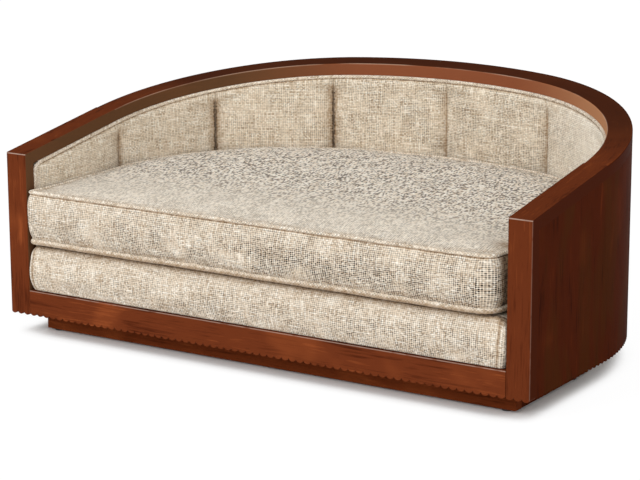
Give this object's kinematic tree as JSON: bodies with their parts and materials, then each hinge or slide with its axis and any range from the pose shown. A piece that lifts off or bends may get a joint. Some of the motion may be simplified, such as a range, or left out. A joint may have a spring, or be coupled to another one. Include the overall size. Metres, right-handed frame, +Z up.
{
  "type": "dog bed",
  "caption": "Small curved wooden dog sofa: scalloped bent-wood wall with a slanted rim, upholstered channels inside, padded deck, loose box cushion and recessed plinth.",
  "frame": {"origin": "on the floor, under the centre of the bed's overall width and depth", "axes": "+X to the sitter's left as seen from the front, that is to the right of someone who faces the open front, +Y from the open front to the back, +Z up"},
  "size_m": [0.9144, 0.6194, 0.3839],
  "materials": {
    "stained_wood": "satin red-brown stain with a straight grain",
    "dark_stained_wood": "satin dark brown stain with a red figure",
    "raw_board": "unfinished plywood and softwood",
    "dowel_wood": "unfinished beech",
    "screw_steel": "zinc plated",
    "glide_plastic": "matte black",
    "tweed": "oatmeal tweed with dark flecks",
    "padding": "bonded foam and wadding"
  },
  "bodies": {
    "bed": {"left_post": "stained_wood", "right_post": "stained_wood", "apron": "stained_wood", "left_arm_rim": "stained_wood", "right_arm_rim": "stained_wood", "back_rim": "stained_wood", "plinth_front": "stained_wood", "outer_shell": "dark_stained_wood", "plinth_wrap": "dark_stained_wood", "base_board": "raw_board", "wall_studs": "raw_board", "wall_liner": "raw_board", "seat_rail": "raw_board", "left_joist": "raw_board", "right_joist": "raw_board", "left_cleat": "raw_board", "right_cleat": "raw_board", "deck_panel": "raw_board", "plinth_brace": "raw_board", "plinth_blocks": "raw_board", "apron_dowels": "dowel_wood", "rim_dowels": "dowel_wood", "base_screws": "screw_steel", "glides": "glide_plastic", "front_band": "tweed", "back_welt": "tweed", "channel_1": "tweed", "channel_2": "tweed", "channel_3": "tweed", "channel_4": "tweed", "channel_5": "tweed", "channel_6": "tweed", "channel_7": "tweed", "channel_8": "tweed", "deck_pad": "padding"},
    "cushion": {"cushion_core": "padding", "cushion_cover": "tweed", "bottom_welt": "tweed", "top_welt": "tweed"}
  },
  "joints": [
    {"name": "cushion_lift", "type": "slide", "parent": "bed", "child": "cushion", "axis": [0, 0, 1], "range_m": [0, 0.25]}
  ]
}
